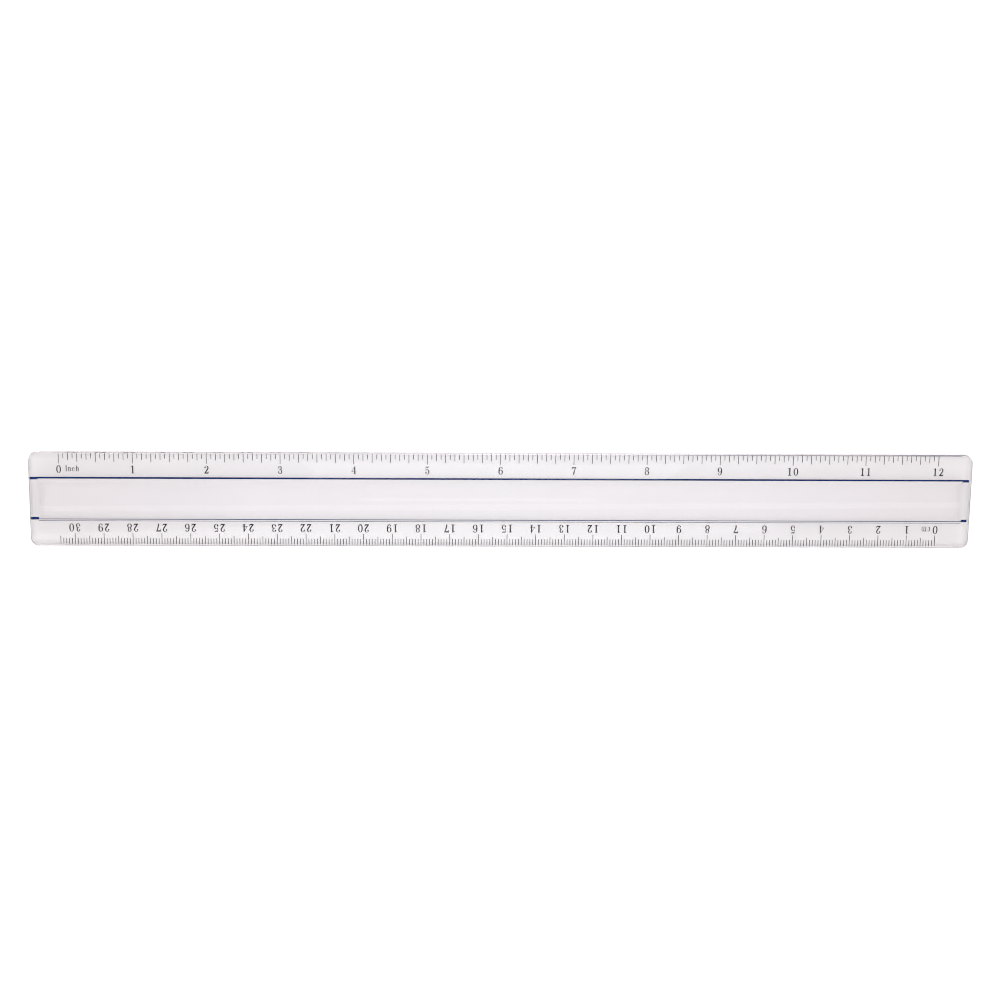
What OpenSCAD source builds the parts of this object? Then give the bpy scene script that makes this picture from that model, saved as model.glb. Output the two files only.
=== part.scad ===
// Clear acrylic magnifying ruler, 12 inch and 30 cm.
// A flat transparent plate carries a raised plano-convex lens bar along its middle.
// Graduations, numerals and two navy guide lines are printed on the underside,
// flush with it, and are read through the plastic.
// X runs along the ruler, +Y is the inch edge, +Z is up.
// The origin is the middle of the underside, on the surface that the ruler lies on.

/* [Plate] */
// overall length of the plate
plate_length = 326.6; // [150:0.1:500]
// overall width of the plate
plate_width = 33.2; // [24:0.1:60]
// thickness of the flat margins beside the lens
plate_thickness = 2.8; // [1:0.1:5]
// radius of the four corners in plan
corner_radius = 2.6; // [0.5:0.1:6]
// width of the broken edges, top and bottom
edge_break = 0.12; // [0.1:0.01:0.8]

/* [Lens bar] */
// length of the lens bar at its foot
lens_length = 320.4; // [100:0.1:480]
// width of the lens bar at its foot
lens_width = 15.2; // [8:0.1:30]
// height of the straight sides below the crown
lens_side_height = 1.3; // [0.2:0.1:4]
// lean of the long sides away from upright, in degrees
lens_side_lean = 34; // [0:1:50]
// lean of the two ends away from upright, in degrees
lens_end_lean = 8; // [0:1:45]
// radius of the convex crown
crown_radius = 22; // [9:0.5:60]

/* [Printing] */
// depth of the ink, which is let into the underside
ink_thickness = 0.04; // [0.02:0.01:0.2]
// width of every graduation
mark_width = 0.21; // [0.1:0.01:0.6]
// clear margin between the plate's broken edge and the graduations
mark_margin = 0.08; // [0.05:0.01:1]
// width of the two guide lines
guide_line_width = 0.9; // [0.3:0.05:2]
// distance of each guide line from the middle of the ruler
guide_line_offset = 7.2; // [4:0.05:12]
// how far the guide lines stop short of the right-hand end
guide_line_stop = 0.7; // [0.3:0.1:5]

/* [Inch scale] */
// whole inches on the scale
inch_count = 12; // [4:1:18]
// position of the inch zero along the ruler
inch_zero_x = -153.1; // [-240:0.1:0]
// distance from the plate edge to the tip of a whole-inch mark
inch_reach = 4.05; // [2:0.05:8]
// the same for half and quarter inches
quarter_reach = 3.55; // [2:0.05:8]
// the same for eighths
eighth_reach = 2.85; // [1.5:0.05:8]
// the same for sixteenths
sixteenth_reach = 2.3; // [1:0.05:8]
// height of the inch numerals
inch_numeral_height = 2.8; // [1.5:0.05:5]
// distance of the inch numerals' feet from the middle of the ruler
inch_numeral_base = 9; // [6:0.05:14]

/* [Centimetre scale] */
// millimetres on the scale
millimetre_count = 305; // [100:1:450]
// position of the centimetre zero along the ruler
centimetre_zero_x = 151.8; // [0:0.1:240]
// distance from the plate edge to the tip of a centimetre mark
centimetre_reach = 4.05; // [2:0.05:8]
// the same for half centimetres
half_centimetre_reach = 3.1; // [2:0.05:8]
// the same for millimetres
millimetre_reach = 2.3; // [1:0.05:8]
// height of the centimetre numerals
centimetre_numeral_height = 2.9; // [1.5:0.05:5]
// distance of the centimetre numerals' feet from the middle of the ruler
centimetre_numeral_base = 9.05; // [6:0.05:14]

/* [Unit labels] */
// height of a capital in the unit labels
label_cap_height = 2; // [1:0.05:4]
// distance of the inch label's feet from the middle of the ruler
inch_label_base = 9.7; // [6:0.05:14]
// distance of the centimetre label's feet from the middle of the ruler
centimetre_label_base = 9.35; // [6:0.05:14]
// distance of the inch label from the inch zero mark
inch_label_gap = 2.3; // [1:0.1:6]
// distance of the centimetre label from the centimetre zero mark
centimetre_label_gap = 1.8; // [1:0.1:6]

/* [Hidden] */
// length of an inch in millimetres, and the parts that each scale is divided into
inch = 25.4;
sixteenths = 16;
eighths_step = 2;
quarters_step = 4;
halves_step = 8;
centimetre = 10;
half_centimetre = 5;
half_length = plate_length / 2;
half_width = plate_width / 2;
crown_half = lens_width / 2 - lens_side_height * tan(lens_side_lean);
crown_drop = sqrt(pow(crown_radius, 2) - pow(crown_half, 2));
crown_rise = crown_radius - crown_drop;
lens_height = lens_side_height + crown_rise;
// numerals are drawn one unit high, this wide and this far apart
numeral_width = 0.56;
numeral_pitch = 0.77;
// segments in a full turn of a letter's curve
curve_steps = 24;
// how far a curved stroke runs on into its neighbour at each end, in degrees
stroke_overlap = 3;
// segments in a full turn of the plate's corners and of the crown
corner_steps = 64;
crown_steps = 180;
// thickness of the hairlines and slab serifs of the lettering
hairline = 0.06;

clear_plastic = [0.90, 0.89, 0.91, 0.45];
black_ink = [0.10, 0.10, 0.11];
navy_ink = [0.10, 0.19, 0.42];

// ---- lettering, drawn one unit high with its feet on y = 0 ----

// points along an elliptical arc
function arc_points(centre, radii, from, to) =
    let (steps = max(3, ceil(abs(to - from) * curve_steps / 360)))
    [for (i = [0:steps])
        let (a = from + (to - from) * i / steps)
        [centre[0] + radii[0] * cos(a), centre[1] + radii[1] * sin(a)]];

function reversed(points) = [for (i = [len(points) - 1:-1:0]) points[i]];

// a curved stroke between an outer and an inner elliptical arc
module stroke(centre, outer, inner, from, to) {
    start = from - stroke_overlap;
    end = to + stroke_overlap;
    polygon(concat(
        arc_points(centre, outer, start, end),
        reversed(arc_points(centre, inner, start, end))));
}

// a closed bowl with thick sides and thin top and bottom
module bowl(centre, outer, inner) {
    difference() {
        polygon(arc_points(centre, outer, 0, 360 - 360 / curve_steps));
        polygon(arc_points(centre, inner, 0, 360 - 360 / curve_steps));
    }
}

// the round end of a curved stroke
module ball(x, y, radius) {
    polygon(arc_points([x, y], [radius, radius], 0, 360 - 360 / curve_steps));
}

// a flat bar between two corners
module bar(x0, y0, x1, y1) {
    translate([x0, y0])
        square([x1 - x0, y1 - y0]);
}

module zero() {
    bowl([0.28, 0.5], [0.29, 0.51], [0.145, 0.45]);
}

module one() {
    polygon([[0.09, 0], [0.48, 0], [0.48, hairline], [0.365, 0.085], [0.365, 1], [0.31, 1],
        [0.08, 0.90], [0.08, 0.84], [0.21, 0.87], [0.21, 0.085], [0.09, hairline]]);
}

module two() {
    ball(0.115, 0.76, 0.08);
    stroke([0.27, 0.72], [0.245, 0.29], [0.185, 0.235], 90, 180);
    stroke([0.27, 0.72], [0.27, 0.29], [0.12, 0.235], -35, 90);
    polygon([[0.05, 0.12], [0.10, 0.08], [0.19, 0.12], [0.41, 0.395], [0.505, 0.59], [0.37, 0.62]]);
    polygon([[0.01, 0], [0.50, 0], [0.56, 0.26], [0.52, 0.26], [0.45, 0.16], [0.32, 0.135],
        [0.14, 0.17], [0.01, 0.06]]);
}

module three() {
    ball(0.115, 0.79, 0.08);
    ball(0.105, 0.22, 0.09);
    stroke([0.26, 0.755], [0.225, 0.255], [0.165, 0.20], 90, 170);
    stroke([0.26, 0.755], [0.22, 0.255], [0.085, 0.20], -90, 90);
    stroke([0.25, 0.27], [0.29, 0.28], [0.145, 0.22], -90, 90);
    stroke([0.25, 0.27], [0.23, 0.28], [0.17, 0.22], -170, -90);
    bar(0.17, 0.50, 0.27, 0.55);
}

module four() {
    polygon([[0.32, 0], [0.47, 0], [0.47, 1], [0.40, 1], [0, 0.32], [0, 0.26], [0.32, 0.26]]);
}

module four_counter() {
    polygon([[0.32, 0.325], [0.32, 0.78], [0.06, 0.325]]);
}

module four_bars() {
    bar(0.44, 0.26, 0.58, 0.325);
    bar(0.22, 0, 0.57, hairline);
}

module five() {
    bar(0.085, 0.46, 0.145, 0.98);
    polygon([[0.085, 1], [0.085, 0.86], [0.28, 0.84], [0.43, 0.88], [0.50, 1], [0.28, 0.97]]);
    stroke([0.26, 0.32], [0.29, 0.33], [0.145, 0.27], -90, 100);
    stroke([0.26, 0.32], [0.22, 0.33], [0.17, 0.27], 100, 140);
    stroke([0.26, 0.32], [0.23, 0.33], [0.165, 0.27], -165, -90);
    ball(0.115, 0.24, 0.085);
}

module six() {
    bowl([0.29, 0.31], [0.28, 0.32], [0.135, 0.26]);
    stroke([0.32, 0.5], [0.31, 0.51], [0.165, 0.45], 100, 190);
    stroke([0.32, 0.5], [0.22, 0.51], [0.16, 0.45], 40, 100);
    ball(0.46, 0.83, 0.075);
}

module seven() {
    polygon([[0.02, 0.70], [0.06, 0.70], [0.12, 0.80], [0.22, 0.84], [0.41, 0.82], [0.29, 0.55],
        [0.20, 0.20], [0.19, 0], [0.34, 0], [0.36, 0.28], [0.44, 0.62], [0.56, 0.93], [0.56, 1],
        [0.42, 0.97], [0.22, 1], [0.12, 0.96], [0.06, 1], [0.02, 1]]);
}

module eight() {
    bowl([0.28, 0.755], [0.23, 0.255], [0.105, 0.20]);
    bowl([0.28, 0.275], [0.28, 0.285], [0.14, 0.22]);
}

module nine() {
    translate([numeral_width, 1])
        rotate(180)
            six();
}

module digit(value) {
    if (value == 0) zero();
    if (value == 1) one();
    if (value == 2) two();
    if (value == 3) three();
    if (value == 4) {
        difference() {
            four();
            four_counter();
        }
        four_bars();
    }
    if (value == 5) five();
    if (value == 6) six();
    if (value == 7) seven();
    if (value == 8) eight();
    if (value == 9) nine();
}

function digits_of(value) =
    value < 10 ? [value] : concat(digits_of(floor(value / 10)), [value % 10]);

// a whole number centred on x = 0
module numeral(value, height) {
    digits = digits_of(value);
    start = -(numeral_width + (len(digits) - 1) * numeral_pitch) / 2;
    for (i = [0:len(digits) - 1])
        translate([(start + i * numeral_pitch) * height, 0])
            scale(height)
                digit(digits[i]);
}

// an upright letter stem with a slab foot and a head serif on the left
module stem(x, height) {
    bar(x, 0, x + 0.12, height);
    bar(x - 0.06, 0, x + 0.17, hairline);
    bar(x - 0.06, height - hairline, x + 0.05, height);
}

// an arch from the stem at x to a second stem, as in n, m and h
module arch(x, x_height) {
    stroke([x + 0.25, x_height * 0.68], [0.20, x_height * 0.33], [0.15, x_height * 0.24], 90, 180);
    stroke([x + 0.25, x_height * 0.68], [0.19, x_height * 0.33], [0.08, x_height * 0.24], 0, 90);
    bar(x + 0.33, 0, x + 0.44, x_height * 0.70);
    bar(x + 0.27, 0, x + 0.50, hairline);
}

module letter_c(x, x_height) {
    stroke([x + 0.24, x_height / 2], [0.24, x_height * 0.51], [0.12, x_height * 0.44], 90, 270);
    stroke([x + 0.24, x_height / 2], [0.19, x_height * 0.51], [0.14, x_height * 0.44], 30, 90);
    stroke([x + 0.24, x_height / 2], [0.20, x_height * 0.51], [0.15, x_height * 0.44], 270, 330);
    ball(x + 0.375, x_height * 0.70, 0.065);
}

module inch_word() {
    x_height = 0.70;
    bar(0.08, 0, 0.22, 1);
    bar(0, 0, 0.30, hairline);
    bar(0, 1 - hairline, 0.30, 1);
    stem(0.50, x_height);
    arch(0.50, x_height);
    letter_c(1.16, x_height);
    stem(1.87, 1);
    arch(1.87, x_height);
}

module centimetre_word() {
    x_height = 0.82;
    letter_c(0, x_height);
    stem(0.70, x_height);
    arch(0.70, x_height);
    arch(1.03, x_height);
}

// ---- the artwork, flat, as seen from above ----

// one graduation along the +Y edge
module mark(x, reach) {
    translate([x - mark_width / 2, half_width - reach])
        square([mark_width, reach - edge_break - mark_margin]);
}

// the marks whose sixteenths count is an odd multiple of step
module inch_divisions(step, reach) {
    for (i = [step:2 * step:inch_count * sixteenths])
        mark(inch_zero_x + i * inch / sixteenths, reach);
}

module whole_inches() {
    for (i = [0:inch_count])
        mark(inch_zero_x + i * inch, inch_reach);
}

// the centimetre edge is the +Y edge of the ruler turned half round
module centimetre_scale(step, skip, reach) {
    rotate(180)
        for (i = [0:step:millimetre_count])
            if (skip == 0 || i % skip != 0)
                mark(i - centimetre_zero_x, reach);
}

module inch_figures() {
    for (i = [0:inch_count])
        translate([inch_zero_x + i * inch, inch_numeral_base])
            numeral(i, inch_numeral_height);
}

module centimetre_figures() {
    rotate(180)
        for (i = [0:floor(millimetre_count / centimetre)])
            translate([i * centimetre - centimetre_zero_x, centimetre_numeral_base])
                numeral(i, centimetre_numeral_height);
}

module inch_lettering() {
    translate([inch_zero_x + inch_label_gap, inch_label_base])
        scale(label_cap_height)
            inch_word();
}

module centimetre_lettering() {
    rotate(180)
        translate([centimetre_label_gap - centimetre_zero_x, centimetre_label_base])
            scale(label_cap_height)
                centimetre_word();
}

module guide_line(offset_y) {
    translate([edge_break - half_length, offset_y - guide_line_width / 2])
        square([plate_length - edge_break - guide_line_stop, guide_line_width]);
}

// ---- the printing, node by node ----

module printed(ink) {
    color(ink)
        linear_extrude(height = ink_thickness)
            children();
}

module inch_marks() {
    printed(black_ink) whole_inches();
}

module half_inch_marks() {
    printed(black_ink) inch_divisions(halves_step, quarter_reach);
}

module quarter_inch_marks() {
    printed(black_ink) inch_divisions(quarters_step, quarter_reach);
}

module eighth_inch_marks() {
    printed(black_ink) inch_divisions(eighths_step, eighth_reach);
}

module sixteenth_inch_marks() {
    printed(black_ink) inch_divisions(1, sixteenth_reach);
}

module inch_numerals() {
    printed(black_ink) inch_figures();
}

module inch_label() {
    printed(black_ink) inch_lettering();
}

module centimetre_marks() {
    printed(black_ink) centimetre_scale(centimetre, 0, centimetre_reach);
}

module half_centimetre_marks() {
    printed(black_ink) centimetre_scale(half_centimetre, centimetre, half_centimetre_reach);
}

module millimetre_marks() {
    printed(black_ink) centimetre_scale(1, half_centimetre, millimetre_reach);
}

module centimetre_numerals() {
    printed(black_ink) centimetre_figures();
}

module centimetre_label() {
    printed(black_ink) centimetre_lettering();
}

module inch_side_guide_line() {
    printed(navy_ink) guide_line(guide_line_offset);
}

module centimetre_side_guide_line() {
    printed(navy_ink) guide_line(-guide_line_offset);
}

// ---- the plastic ----

module plate_outline() {
    x = half_length - corner_radius;
    y = half_width - corner_radius;
    square([plate_length, 2 * y], center = true);
    square([2 * x, plate_width], center = true);
    for (sx = [-1, 1], sy = [-1, 1])
        translate([sx * x, sy * y])
            circle(r = corner_radius, $fn = corner_steps);
}

// the plate as a box with its long and short edges broken
module plate_blank() {
    intersection() {
        linear_extrude(height = plate_thickness)
            plate_outline();
        rotate([90, 0, 90])
            linear_extrude(height = plate_length, center = true)
                broken_section(half_width);
        rotate([90, 0, 0])
            linear_extrude(height = plate_width, center = true)
                broken_section(half_length);
    }
}

module broken_section(half) {
    polygon([[-half + edge_break, 0], [half - edge_break, 0], [half, edge_break],
        [half, plate_thickness - edge_break], [half - edge_break, plate_thickness],
        [-half + edge_break, plate_thickness], [-half, plate_thickness - edge_break],
        [-half, edge_break]]);
}

// everything that is printed, as shallow blocks that cut their own beds in the plate
module ink_beds() {
    translate([0, 0, -ink_thickness])
        linear_extrude(height = 2 * ink_thickness) {
            whole_inches();
            inch_divisions(halves_step, quarter_reach);
            inch_divisions(quarters_step, quarter_reach);
            inch_divisions(eighths_step, eighth_reach);
            inch_divisions(1, sixteenth_reach);
            inch_figures();
            inch_lettering();
            centimetre_scale(centimetre, 0, centimetre_reach);
            centimetre_scale(half_centimetre, centimetre, half_centimetre_reach);
            centimetre_scale(1, half_centimetre, millimetre_reach);
            centimetre_figures();
            centimetre_lettering();
            guide_line(guide_line_offset);
            guide_line(-guide_line_offset);
        }
}

module base_plate() {
    color(clear_plastic)
        difference() {
            plate_blank();
            ink_beds();
        }
}

// the cross-section of the lens bar: leaning sides under a round crown
module lens_section() {
    intersection() {
        translate([0, lens_side_height - crown_drop])
            circle(r = crown_radius, $fn = crown_steps);
        leaning_block(lens_width / 2, lens_side_lean);
    }
}

// a flat-footed block whose two ends lean inwards
module leaning_block(half, angle) {
    lean = lens_height * tan(angle);
    polygon([[-half, 0], [half, 0], [half - lean, lens_height], [lean - half, lens_height]]);
}

module lens_bar() {
    color(clear_plastic)
        translate([0, 0, plate_thickness])
            intersection() {
                rotate([90, 0, 90])
                    linear_extrude(height = lens_length, center = true)
                        lens_section();
                rotate([90, 0, 0])
                    linear_extrude(height = lens_width, center = true)
                        leaning_block(lens_length / 2, lens_end_lean);
            }
}

base_plate();
lens_bar();
inch_marks();
half_inch_marks();
quarter_inch_marks();
eighth_inch_marks();
sixteenth_inch_marks();
inch_numerals();
inch_label();
centimetre_marks();
half_centimetre_marks();
millimetre_marks();
centimetre_numerals();
centimetre_label();
inch_side_guide_line();
centimetre_side_guide_line();
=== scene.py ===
"""Looks of the clear magnifying ruler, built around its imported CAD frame."""
import math

import bmesh
import bpy
from mathutils import Matrix, Vector


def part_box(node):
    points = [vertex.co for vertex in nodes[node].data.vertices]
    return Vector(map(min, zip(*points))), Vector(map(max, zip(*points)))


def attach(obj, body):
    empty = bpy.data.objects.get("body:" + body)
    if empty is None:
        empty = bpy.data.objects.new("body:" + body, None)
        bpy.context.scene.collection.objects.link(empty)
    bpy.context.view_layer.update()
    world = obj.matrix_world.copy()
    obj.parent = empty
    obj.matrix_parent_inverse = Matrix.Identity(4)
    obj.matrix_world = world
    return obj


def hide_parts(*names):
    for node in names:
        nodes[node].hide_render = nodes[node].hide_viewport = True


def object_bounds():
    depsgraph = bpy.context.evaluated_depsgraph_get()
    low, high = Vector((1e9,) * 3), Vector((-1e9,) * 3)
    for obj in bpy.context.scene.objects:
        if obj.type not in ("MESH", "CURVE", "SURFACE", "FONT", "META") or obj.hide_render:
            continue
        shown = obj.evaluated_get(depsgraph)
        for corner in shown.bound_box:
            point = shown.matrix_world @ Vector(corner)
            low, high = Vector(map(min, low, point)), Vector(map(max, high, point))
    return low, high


MM = 0.001

# The moulding's own details: they are too fine for the CAD model.
CROWN_SEGMENTS = 96
CORNER_SEGMENTS = 16
EDGE_STEPS = 6
MOULD_ROUND = 0.12 * MM
ROUND_SEGMENTS = 3
# Edges that turn more than these angles (degrees) are rounded, and shaded as sharp.
ROUNDED_ABOVE = 24
SHARP_ABOVE = 20
# The plastic's underside stops just above the ink's, so no two faces share a plane
# and the ink's upper side is inside the plastic.
UNDERSIDE_LIFT = 0.004 * MM
# How far the lens runs down into the plate before the two are joined.
JOIN_DEPTH = 0.5 * MM

# The plastic: its tint at each surface, the strength of its surface reflection, and how
# it takes light away with depth. Noise scales are in repeats a metre.
PLASTIC_TINT = (0.996, 0.994, 0.996, 1)
PLASTIC_SHEEN = (0.3, 0.3, 0.3, 1)
ACRYLIC_INDEX = 1.49
DEPTH_TINT = (0.87, 0.85, 0.865, 1)
DEPTH_DENSITY = 110.0
HAZE_SCALE = 60
HAZE_ROUGHNESS = 0.03
RIPPLE_SCALE = 90
RIPPLE_STRETCH = (0.35, 1, 1)
RIPPLE_STRENGTH = 0.02
RIPPLE_HEIGHT = 0.01 * MM
# The part of a noise's values that is used, from lowest to highest.
NOISE_SPREAD = (0.3, 0.7)

# The two inks: colour where the cover is thin, colour where it is full, roughness.
BLACK_INK = ((0.15, 0.11, 0.125), (0.045, 0.030, 0.036), 0.55)
NAVY_INK = ((0.010, 0.040, 0.200), (0.003, 0.018, 0.130), 0.5)
COVER_SCALE = 900
THIN_BELOW = 0.32
FULL_ABOVE = 0.55
GRAIN_SCALE = 5000
GRAIN_ROUGHNESS = 0.08
INK_SHEEN = 0.0

# The card: its colour with a painted pool of light, from under the middle of the ruler (0) to
# beyond its ends (1).
FLOOR_LIGHT_POOL_TONES = (
    (0.0, (0.93, 0.93, 0.93)),
    (0.44, (0.910, 0.901, 0.903)),
    (0.82, (0.851, 0.832, 0.826)),
    (1.0, (0.840, 0.818, 0.812)),
)
FLOOR_LIGHT_POOL_END = 190 * MM
FLOOR_HALF_SIZE = 3.0
FLOOR_GAP = 0.02 * MM
FLOOR_ROUGHNESS = 0.9
FLOOR_SHEEN = 0.1

# The light: an even room, and a small softbox that puts a faint line on the crown.
WORLD_COLOUR = (1.0, 0.995, 1.0, 1)
WORLD_STRENGTH = 1.84
SOFTBOX_PLACE = (0, -0.18, 1.0)
SOFTBOX_SIZE = (0.30, 0.10)
SOFTBOX_POWER = 0.3
LIGHT_BOUNCES = 32
# Narrower than the usual filter, in pixels, because the printing is thin and crisp.
PIXEL_FILTER = 1.0

# The camera, as turns of the ruler in front of it (degrees) and its distance.
PITCH = 16.29
YAW = 1.75
ROLL = -0.18
CAMERA_DISTANCE = 930 * MM
FOCAL_LENGTH = 96.34
SENSOR = 36.0
CLIP_START = 0.01
CLIP_END = 20
# The point that the camera looks at, from the middle of the underside.
AIM = Vector((-0.80, -0.135, 0.94)) * MM

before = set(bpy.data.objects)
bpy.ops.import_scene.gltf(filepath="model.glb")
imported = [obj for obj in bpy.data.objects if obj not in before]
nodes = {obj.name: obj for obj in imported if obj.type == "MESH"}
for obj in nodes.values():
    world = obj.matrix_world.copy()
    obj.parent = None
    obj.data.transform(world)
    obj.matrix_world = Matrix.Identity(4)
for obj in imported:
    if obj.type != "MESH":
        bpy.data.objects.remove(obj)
cad_low, cad_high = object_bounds()


# ---- geometry of the clear moulding ----

def outline(low, high, radius, inset, segments):
    """Points round a rounded rectangle in plan, moved inwards by inset."""
    points = []
    r = radius - inset
    centres = (
        (high.x - radius, high.y - radius, 0),
        (low.x + radius, high.y - radius, 90),
        (low.x + radius, low.y + radius, 180),
        (high.x - radius, low.y + radius, 270),
    )
    for cx, cy, start in centres:
        for i in range(segments + 1):
            a = math.radians(start + 90 * i / segments)
            points.append((cx + r * math.cos(a), cy + r * math.sin(a)))
    return points


def rings_to_mesh(name, rings):
    """A closed mesh from equal rings of points, capped at both ends."""
    bm = bmesh.new()
    made = [[bm.verts.new(p) for p in ring] for ring in rings]
    count = len(rings[0])
    for a, b in zip(made[:-1], made[1:]):
        for i in range(count):
            j = (i + 1) % count
            bm.faces.new((a[i], a[j], b[j], b[i]))
    bm.faces.new(list(reversed(made[0])))
    bm.faces.new(made[-1])
    bmesh.ops.recalc_face_normals(bm, faces=bm.faces)
    mesh = bpy.data.meshes.new(name)
    bm.to_mesh(mesh)
    bm.free()
    obj = bpy.data.objects.new(name, mesh)
    bpy.context.scene.collection.objects.link(obj)
    return obj


def widest_at(node, z, axis, tolerance=0.01 * MM):
    """Largest coordinate along axis of a CAD node's points at height z."""
    points = [v.co for v in nodes[node].data.vertices if abs(v.co.z - z) < tolerance]
    return max(p[axis] for p in points)


def corner_radius(node):
    """Radius of a plate's corners in plan, from where its straight side ends."""
    low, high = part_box(node)
    side = [v.co for v in nodes[node].data.vertices if v.co.y > high.y - 0.001 * MM]
    return high.x - max(p.x for p in side)


def plate_body():
    """The plate, with the CAD model's broken edges as small rounds."""
    low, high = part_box("base_plate")
    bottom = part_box("inch_side_guide_line")[0].z + UNDERSIDE_LIFT
    edge = high.x - widest_at("base_plate", high.z, 0)
    radius = corner_radius("base_plate")
    turns = [math.radians(90 * i / EDGE_STEPS) for i in range(EDGE_STEPS + 1)]
    # (inset, height) pairs up the lower rounded edge and then up the upper one
    profile = [(edge * (1 - math.sin(a)), bottom + edge * (1 - math.cos(a))) for a in turns]
    profile += [(edge * (1 - math.cos(a)), high.z - edge * (1 - math.sin(a))) for a in turns]
    rings = []
    for inset, z in profile:
        ring = outline(low, high, radius, inset, CORNER_SEGMENTS)
        rings.append([(x, y, z) for x, y in ring])
    return rings_to_mesh("plate_body", rings)


def lens_profile():
    """(y, z) points across the lens bar, from foot to foot over the crown."""
    low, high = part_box("lens_bar")
    foot = high.y
    points = [v.co for v in nodes["lens_bar"].data.vertices]
    # the crown starts at the lowest level of points above the foot
    heights = sorted({round(p.z, 7) for p in points})
    shoulder_z = min(z for z in heights if z > low.z + 0.1 * MM)
    shoulder_y = widest_at("lens_bar", shoulder_z, 1)
    rise = high.z - shoulder_z
    radius = (shoulder_y ** 2 + rise ** 2) / (2 * rise)
    centre_z = high.z - radius
    half_angle = math.asin(shoulder_y / radius)
    profile = [(foot, low.z)]
    for i in range(CROWN_SEGMENTS + 1):
        a = half_angle - 2 * half_angle * i / CROWN_SEGMENTS
        profile.append((radius * math.sin(a), centre_z + radius * math.cos(a)))
    profile.append((-foot, low.z))
    return profile


def lens_body():
    """The lens bar, carried down into the plate, with its two leaning ends."""
    low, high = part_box("lens_bar")
    profile = lens_profile()
    foot_x = widest_at("lens_bar", low.z, 0)
    top_x = widest_at("lens_bar", high.z, 0)
    lean = (foot_x - top_x) / (high.z - low.z)
    section = [(profile[-1][0], low.z - JOIN_DEPTH)]
    section += [(y, z) for y, z in reversed(profile)]
    section.append((profile[0][0], low.z - JOIN_DEPTH))
    ends = []
    for side in (-1, 1):
        ends.append([(side * (foot_x - max(z - low.z, 0) * lean), y, z) for y, z in section])
    return rings_to_mesh("lens_body", ends)


def clear_moulding():
    """Plate and lens bar as one optically continuous piece with softened edges."""
    plate = plate_body()
    lens = lens_body()
    union = plate.modifiers.new("union", "BOOLEAN")
    union.operation = "UNION"
    union.solver = "EXACT"
    union.object = lens
    bevel = plate.modifiers.new("soft_edges", "BEVEL")
    bevel.width = MOULD_ROUND
    bevel.segments = ROUND_SEGMENTS
    bevel.limit_method = "ANGLE"
    bevel.angle_limit = math.radians(ROUNDED_ABOVE)
    bevel.use_clamp_overlap = True
    depsgraph = bpy.context.evaluated_depsgraph_get()
    mesh = bpy.data.meshes.new_from_object(plate.evaluated_get(depsgraph))
    bpy.data.objects.remove(lens)
    bpy.data.objects.remove(plate)
    moulding = bpy.data.objects.new("clear_moulding", mesh)
    bpy.context.scene.collection.objects.link(moulding)
    for polygon in mesh.polygons:
        polygon.use_smooth = True
    mesh.set_sharp_from_angle(angle=math.radians(SHARP_ABOVE))
    return moulding


# ---- materials ----

def new_material(name):
    material = bpy.data.materials.new(name)
    material.use_nodes = True
    tree = material.node_tree
    return material, tree, tree.nodes["Principled BSDF"]


def noise(tree, scale, detail, stretch=(1, 1, 1)):
    """Noise in object space, in repeats a metre, stretched along the axes."""
    where = tree.nodes.new("ShaderNodeTexCoord")
    mapping = tree.nodes.new("ShaderNodeMapping")
    mapping.inputs["Scale"].default_value = stretch
    texture = tree.nodes.new("ShaderNodeTexNoise")
    texture.inputs["Scale"].default_value = scale
    texture.inputs["Detail"].default_value = detail
    tree.links.new(where.outputs["Object"], mapping.inputs["Vector"])
    tree.links.new(mapping.outputs["Vector"], texture.inputs["Vector"])
    return texture.outputs["Fac"]


def ranged(tree, value, from_low, from_high, to_low, to_high):
    """A value moved from one range to another."""
    node = tree.nodes.new("ShaderNodeMapRange")
    node.inputs["From Min"].default_value = from_low
    node.inputs["From Max"].default_value = from_high
    node.inputs["To Min"].default_value = to_low
    node.inputs["To Max"].default_value = to_high
    tree.links.new(value, node.inputs["Value"])
    return node.outputs["Result"]


def ramp(tree, value, stops):
    """A colour ramp with (position, colour) stops."""
    node = tree.nodes.new("ShaderNodeValToRGB")
    elements = node.color_ramp.elements
    while len(elements) < len(stops):
        elements.new(0.5)
    for element, (position, colour) in zip(elements, stops):
        element.position = position
        element.color = (*colour, 1)
    tree.links.new(value, node.inputs["Fac"])
    return node.outputs["Color"]


def clear_acrylic():
    """Clear plastic with a very faint haze and ripple, tinted a little by its depth."""
    material, tree, shader = new_material("clear_acrylic")
    shader.inputs["Base Color"].default_value = PLASTIC_TINT
    shader.inputs["Transmission Weight"].default_value = 1.0
    shader.inputs["IOR"].default_value = ACRYLIC_INDEX
    shader.inputs["Specular Tint"].default_value = PLASTIC_SHEEN
    haze = noise(tree, HAZE_SCALE, 4)
    roughness = ranged(tree, haze, *NOISE_SPREAD, 0.0, HAZE_ROUGHNESS)
    tree.links.new(roughness, shader.inputs["Roughness"])
    ripple = noise(tree, RIPPLE_SCALE, 2, RIPPLE_STRETCH)
    bump = tree.nodes.new("ShaderNodeBump")
    bump.inputs["Strength"].default_value = RIPPLE_STRENGTH
    bump.inputs["Distance"].default_value = RIPPLE_HEIGHT
    tree.links.new(ripple, bump.inputs["Height"])
    tree.links.new(bump.outputs["Normal"], shader.inputs["Normal"])
    depth = tree.nodes.new("ShaderNodeVolumeAbsorption")
    depth.inputs["Color"].default_value = DEPTH_TINT
    depth.inputs["Density"].default_value = DEPTH_DENSITY
    output = next(node for node in tree.nodes if node.type == "OUTPUT_MATERIAL")
    tree.links.new(depth.outputs["Volume"], output.inputs["Volume"])
    return material


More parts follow.
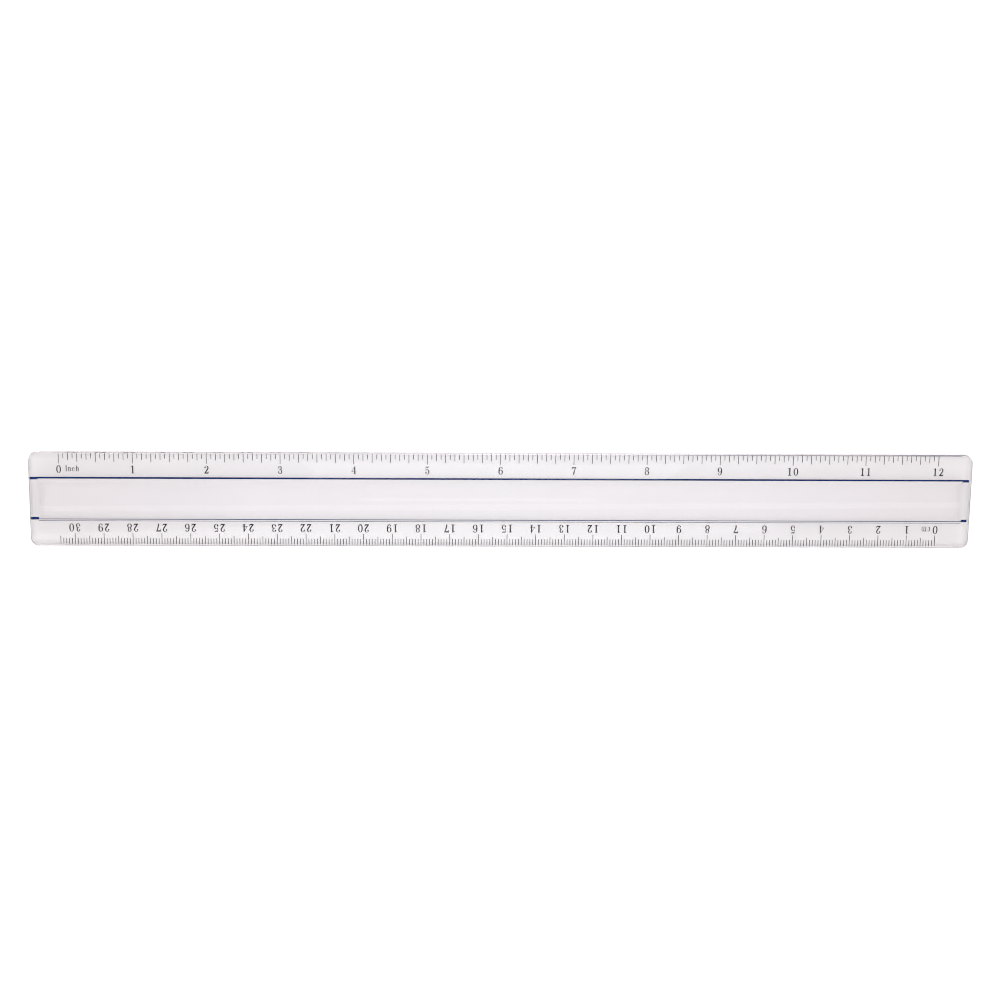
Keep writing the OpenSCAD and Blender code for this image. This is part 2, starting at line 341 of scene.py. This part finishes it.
def printed_ink(name, thin, full, roughness):
    """Printing ink: slightly uneven cover and a fine matt grain, wetted by the plastic."""
    material, tree, shader = new_material(name)
    cover = noise(tree, COVER_SCALE, 5)
    colour = ramp(tree, cover, ((THIN_BELOW, thin), (FULL_ABOVE, full)))
    tree.links.new(colour, shader.inputs["Base Color"])
    grain = noise(tree, GRAIN_SCALE, 3)
    smoothest = roughness - GRAIN_ROUGHNESS
    roughest = roughness + GRAIN_ROUGHNESS
    matt = ranged(tree, grain, *NOISE_SPREAD, smoothest, roughest)
    tree.links.new(matt, shader.inputs["Roughness"])
    shader.inputs["Specular IOR Level"].default_value = INK_SHEEN
    return material


def paper_floor_painted_light():
    """Pale card with a painted pool of light: a little lighter under the middle of the ruler
    than under its ends.
    """
    material, tree, shader = new_material("pale_floor_painted_light")
    where = tree.nodes.new("ShaderNodeTexCoord")
    split = tree.nodes.new("ShaderNodeSeparateXYZ")
    tree.links.new(where.outputs["Object"], split.inputs["Vector"])
    distance = tree.nodes.new("ShaderNodeMath")
    distance.operation = "ABSOLUTE"
    tree.links.new(split.outputs["X"], distance.inputs[0])
    # painted pool of light: the card's colour fades with distance along the ruler from its
    # middle
    light_pool_fade = ranged(tree, distance.outputs["Value"], 0.0, FLOOR_LIGHT_POOL_END, 0.0, 1.0)
    card_with_painted_light = ramp(tree, light_pool_fade, FLOOR_LIGHT_POOL_TONES)
    tree.links.new(card_with_painted_light, shader.inputs["Base Color"])
    shader.inputs["Roughness"].default_value = FLOOR_ROUGHNESS
    shader.inputs["Specular IOR Level"].default_value = FLOOR_SHEEN
    return material


black = printed_ink("black_ink", *BLACK_INK)
navy = printed_ink("navy_ink", *NAVY_INK)
for name, node in nodes.items():
    if name not in ("base_plate", "lens_bar"):
        node.data.materials.clear()
        node.data.materials.append(navy if name.endswith("guide_line") else black)

moulding = clear_moulding()
moulding.data.materials.append(clear_acrylic())
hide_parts("base_plate", "lens_bar")
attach(moulding, "root")


# ---- floor, light and camera ----

def floor():
    half = FLOOR_HALF_SIZE
    mesh = bpy.data.meshes.new("floor")
    z = cad_low.z - FLOOR_GAP
    mesh.from_pydata(
        [(-half, -half, z), (half, -half, z), (half, half, z), (-half, half, z)],
        [], [(0, 1, 2, 3)],
    )
    obj = bpy.data.objects.new("floor", mesh)
    obj.data.materials.append(paper_floor_painted_light())
    bpy.context.scene.collection.objects.link(obj)


def softbox(name, location, target, size, power):
    """A rectangular light that faces its target."""
    light = bpy.data.lights.new(name, "AREA")
    light.shape = "RECTANGLE"
    light.size, light.size_y = size
    light.energy = power
    obj = bpy.data.objects.new(name, light)
    obj.location = location
    obj.rotation_euler = (Vector(target) - Vector(location)).to_track_quat("-Z", "Y").to_euler()
    bpy.context.scene.collection.objects.link(obj)


floor()
softbox("overhead", SOFTBOX_PLACE, (0, 0, 0), SOFTBOX_SIZE, SOFTBOX_POWER)

scene = bpy.context.scene
scene.cycles.filter_width = PIXEL_FILTER
# light that runs along inside the clear plate has to be followed for many reflections
scene.cycles.max_bounces = LIGHT_BOUNCES
scene.cycles.glossy_bounces = LIGHT_BOUNCES
scene.cycles.transmission_bounces = LIGHT_BOUNCES
world = bpy.data.worlds.new("studio")
world.use_nodes = True
background = world.node_tree.nodes["Background"]
background.inputs["Color"].default_value = WORLD_COLOUR
background.inputs["Strength"].default_value = WORLD_STRENGTH
scene.world = world
scene.view_settings.view_transform = "Standard"

turn = (
    Matrix.Rotation(math.radians(ROLL), 3, "Z")
    @ Matrix.Rotation(math.radians(YAW), 3, "Y")
    @ Matrix.Rotation(math.radians(PITCH), 3, "X")
)
centre = Vector((0, 0, cad_low.z))
camera_data = bpy.data.cameras.new("camera")
camera_data.lens = FOCAL_LENGTH
camera_data.sensor_width = SENSOR
camera_data.clip_start = CLIP_START
camera_data.clip_end = CLIP_END
camera = bpy.data.objects.new("camera", camera_data)
away = turn.transposed()
camera.matrix_world = (
    Matrix.Translation(centre + AIM + away @ Vector((0, 0, CAMERA_DISTANCE)))
    @ away.to_4x4()
)
scene.collection.objects.link(camera)
scene.camera = camera
